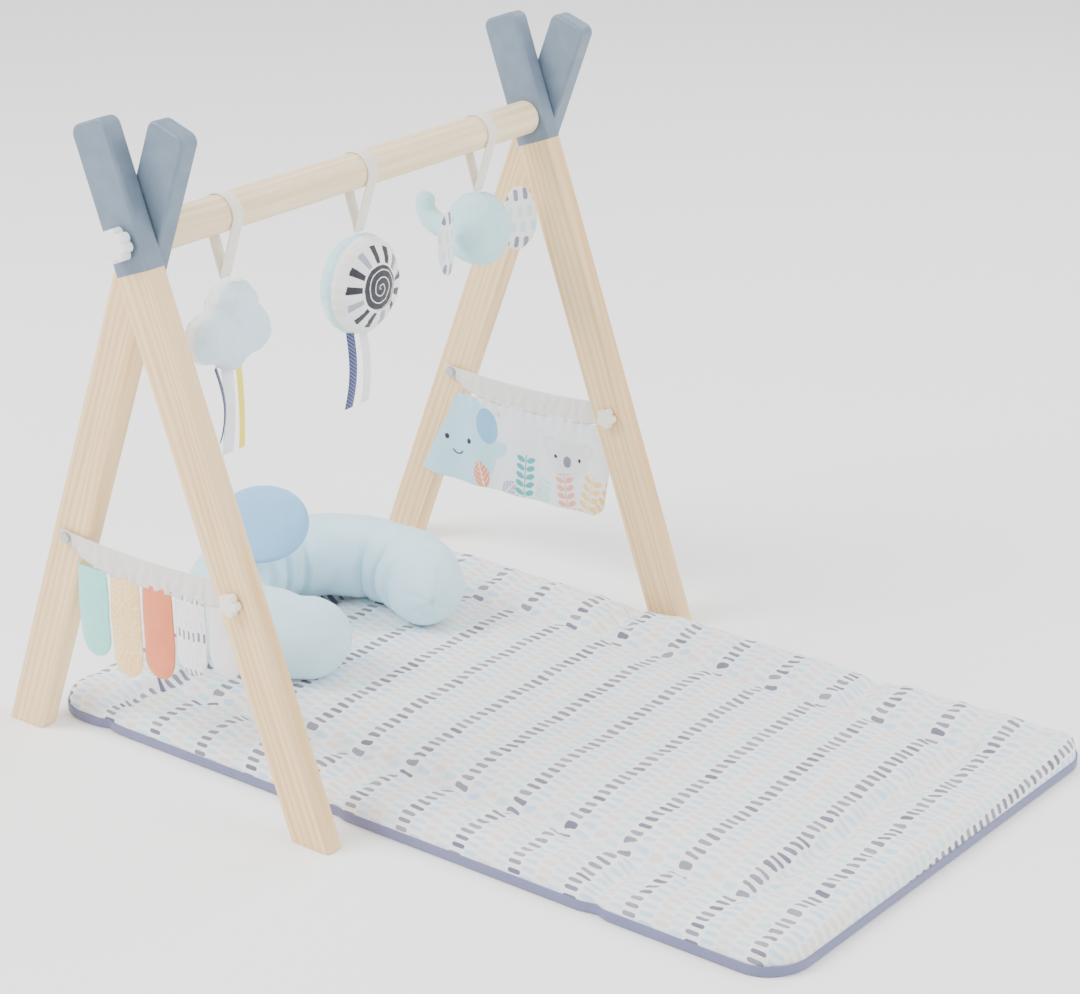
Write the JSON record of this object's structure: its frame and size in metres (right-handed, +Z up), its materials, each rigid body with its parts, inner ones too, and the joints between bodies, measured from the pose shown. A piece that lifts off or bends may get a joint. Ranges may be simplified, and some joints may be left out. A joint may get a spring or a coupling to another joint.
{
  "type": "baby activity play gym",
  "caption": "Wooden baby play gym: crossed-leg end frames carry a bar with hanging soft toys, with fabric side panels, a long quilted mat and a curved bolster.",
  "frame": {"origin": "on the floor, at the middle of the mat's underside below the middle of the bar", "axes": "+X along the mat towards its long end, +Y along the bar from the near frame to the far frame, +Z up"},
  "size_m": [0.8548, 0.628, 0.6001],
  "materials": {
    "pine": "satin",
    "bar_pine": "satin",
    "knob_plastic": "matte",
    "toggle_plastic": "matte",
    "steel": "satin",
    "brass": "satin",
    "webbing": "matte",
    "pale_blue_cotton": "matte",
    "mid_blue_cotton": "matte",
    "printed_cotton": "matte",
    "quilt_cotton": "matte",
    "backing_cotton": "matte",
    "linen": "matte",
    "aqua_plush": "matte",
    "mint_cotton": "matte",
    "golden_cotton": "matte",
    "coral_cotton": "matte",
    "navy_ribbon": "satin",
    "pale_ribbon": "satin",
    "yellow_ribbon": "satin"
  },
  "bodies": {
    "frame": {"crossbar": "bar_pine", "bar_inserts": "brass", "near_outer_leg": "pine", "far_inner_leg": "pine", "near_outer_toggle_nut": "steel", "far_inner_toggle_nut": "steel"},
    "near_inner_leg": {"near_inner_leg": "pine", "near_inner_toggle_nut": "steel"},
    "far_outer_leg": {"far_outer_leg": "pine", "far_outer_toggle_nut": "steel"},
    "near_knob": {"near_knob": "knob_plastic", "near_knob_stud": "steel"},
    "far_knob": {"far_knob": "knob_plastic", "far_knob_stud": "steel"},
    "cloud_loop": {"cloud_loop": "webbing"},
    "ball_loop": {"ball_loop": "webbing"},
    "elephant_loop": {"elephant_loop": "webbing"},
    "cloud_toy": {"cloud_toy": "pale_blue_cotton"},
    "cloud_ribbons": {"cloud_navy_ribbon": "navy_ribbon", "cloud_pale_ribbon": "pale_ribbon", "cloud_yellow_ribbon": "yellow_ribbon"},
    "ball_toy": {"ball_toy": "printed_cotton"},
    "ball_ribbons": {"ball_striped_ribbon": "navy_ribbon", "ball_white_ribbon": "pale_ribbon"},
    "elephant_toy": {"elephant_head": "aqua_plush", "elephant_trunk": "aqua_plush"},
    "elephant_near_ear": {"elephant_near_ear": "printed_cotton"},
    "elephant_far_ear": {"elephant_far_ear": "printed_cotton"},
    "near_panel": {"near_panel_band": "linen"},
    "far_panel": {"far_panel_band": "linen", "far_panel_cloth": "printed_cotton"},
    "mat": {"mat_backing": "backing_cotton", "mat_quilt": "quilt_cotton"},
    "bolster": {"tummy_bolster": "pale_blue_cotton"},
    "bolster_ear": {"bolster_ear": "mid_blue_cotton"},
    "near_outer_toggle": {"near_outer_toggle": "toggle_plastic", "near_outer_toggle_shank": "steel"},
    "near_inner_toggle": {"near_inner_toggle": "toggle_plastic", "near_inner_toggle_shank": "steel"},
    "far_inner_toggle": {"far_inner_toggle": "toggle_plastic", "far_inner_toggle_shank": "steel"},
    "far_outer_toggle": {"far_outer_toggle": "toggle_plastic", "far_outer_toggle_shank": "steel"},
    "mint_feather": {"mint_feather": "mint_cotton"},
    "golden_feather": {"golden_feather": "golden_cotton"},
    "coral_feather": {"coral_feather": "coral_cotton"},
    "dashed_feather": {"dashed_feather": "printed_cotton"},
    "plain_feather": {"plain_feather": "linen"}
  },
  "joints": [
    {"name": "near_fold", "type": "hinge", "parent": "frame", "child": "near_inner_leg", "pos_m": [0, -0.271, 0.5], "axis": [0, -1, 0], "range_deg": [0, 33], "deforming": ["near_panel_band", "mint_feather", "golden_feather", "coral_feather", "dashed_feather", "plain_feather"]},
    {"name": "far_fold", "type": "hinge", "parent": "frame", "child": "far_outer_leg", "pos_m": [0, 0.291, 0.5], "axis": [0, -1, 0], "range_deg": [0, 33], "deforming": ["far_panel_band", "far_panel_cloth"]},
    {"name": "near_knob_turn", "type": "hinge", "parent": "frame", "child": "near_knob", "pos_m": [0, -0.305, 0.5], "axis": [0, 1, 0], "continuous": true},
    {"name": "far_knob_turn", "type": "hinge", "parent": "frame", "child": "far_knob", "pos_m": [0, 0.305, 0.5], "axis": [0, 1, 0], "continuous": true},
    {"name": "near_outer_toggle_turn", "type": "hinge", "parent": "frame", "child": "near_outer_toggle", "pos_m": [0.10628, -0.301, 0.208], "axis": [0, 1, 0], "continuous": true},
    {"name": "near_inner_toggle_turn", "type": "hinge", "parent": "near_inner_leg", "child": "near_inner_toggle", "pos_m": [-0.10628, -0.261, 0.208], "axis": [0, 1, 0], "continuous": true},
    {"name": "far_inner_toggle_turn", "type": "hinge", "parent": "frame", "child": "far_inner_toggle", "pos_m": [0.10628, 0.261, 0.208], "axis": [0, 1, 0], "continuous": true},
    {"name": "far_outer_toggle_turn", "type": "hinge", "parent": "far_outer_leg", "child": "far_outer_toggle", "pos_m": [-0.10628, 0.301, 0.208], "axis": [0, 1, 0], "continuous": true},
    {"name": "cloud_slide", "type": "slide", "parent": "frame", "child": "cloud_loop", "axis": [0, 1, 0], "range_m": [-0.025, 0.035]},
    {"name": "cloud_swing", "type": "hinge", "parent": "cloud_loop", "child": "cloud_toy", "pos_m": [0, -0.181, 0.5], "axis": [0, 1, 0], "range_deg": [-35, 35], "deforming": ["cloud_loop"]},
    {"name": "ball_slide", "type": "slide", "parent": "frame", "child": "ball_loop", "axis": [0, 1, 0], "range_m": [-0.03, 0.03]},
    {"name": "ball_swing", "type": "hinge", "parent": "ball_loop", "child": "ball_toy", "pos_m": [0, 0, 0.5], "axis": [0, 1, 0], "range_deg": [-35, 35], "deforming": ["ball_loop"]},
    {"name": "elephant_slide", "type": "slide", "parent": "frame", "child": "elephant_loop", "axis": [0, 1, 0], "range_m": [-0.025, 0.005]},
    {"name": "elephant_swing", "type": "hinge", "parent": "elephant_loop", "child": "elephant_toy", "pos_m": [0, 0.182, 0.5], "axis": [0, 1, 0], "range_deg": [-35, 35], "deforming": ["elephant_loop"]},
    {"name": "cloud_ribbons_swing", "type": "hinge", "parent": "cloud_toy", "child": "cloud_ribbons", "pos_m": [0, -0.181, 0.3583], "axis": [0, 1, 0], "range_deg": [-45, 45]},
    {"name": "ball_ribbons_swing", "type": "hinge", "parent": "ball_toy", "child": "ball_ribbons", "pos_m": [0, 0, 0.3443], "axis": [0, 1, 0], "range_deg": [-45, 45]},
    {"name": "elephant_near_ear_flap", "type": "hinge", "parent": "elephant_toy", "child": "elephant_near_ear", "pos_m": [0, 0.145, 0.4037], "axis": [0, 0, 1], "range_deg": [-15, 30]},
    {"name": "elephant_far_ear_flap", "type": "hinge", "parent": "elephant_toy", "child": "elephant_far_ear", "pos_m": [0, 0.219, 0.4037], "axis": [0, 0, 1], "range_deg": [-20, 10]},
    {"name": "near_panel_swing", "type": "hinge", "parent": "frame", "child": "near_panel", "pos_m": [0, -0.281, 0.208], "axis": [1, 0, 0], "range_deg": [-25, 25], "deforming": ["near_panel_band"]},
    {"name": "far_panel_swing", "type": "hinge", "parent": "frame", "child": "far_panel", "pos_m": [0, 0.281, 0.208], "axis": [1, 0, 0], "range_deg": [-20, 20], "deforming": ["far_panel_band", "far_panel_cloth"]},
    {"name": "mint_feather_flap", "type": "hinge", "parent": "near_panel", "child": "mint_feather", "pos_m": [-0.078, -0.281, 0.1817], "axis": [1, 0, 0], "range_deg": [-40, 40]},
    {"name": "golden_feather_flap", "type": "hinge", "parent": "near_panel", "child": "golden_feather", "pos_m": [-0.04, -0.281, 0.1817], "axis": [1, 0, 0], "range_deg": [-40, 40]},
    {"name": "coral_feather_flap", "type": "hinge", "parent": "near_panel", "child": "coral_feather", "pos_m": [-0.002, -0.281, 0.1817], "axis": [1, 0, 0], "range_deg": [-40, 40]},
    {"name": "dashed_feather_flap", "type": "hinge", "parent": "near_panel", "child": "dashed_feather", "pos_m": [0.036, -0.281, 0.1817], "axis": [1, 0, 0], "range_deg": [-40, 40]},
    {"name": "plain_feather_flap", "type": "hinge", "parent": "near_panel", "child": "plain_feather", "pos_m": [0.074, -0.281, 0.1817], "axis": [1, 0, 0], "range_deg": [-40, 40]},
    {"name": "mat_slide", "type": "slide", "parent": "frame", "child": "mat", "axis": [1, 0, 0], "range_m": [-0.1, 0.25]},
    {"name": "bolster_slide", "type": "slide", "parent": "mat", "child": "bolster", "axis": [1, 0, 0], "range_m": [-0.02, 0.4]},
    {"name": "bolster_ear_flap", "type": "hinge", "parent": "bolster", "child": "bolster_ear", "pos_m": [-0.08789, -0.04998, 0.10145], "axis": [0.7692, 0.639, 0], "range_deg": [0, 55]}
  ]
}
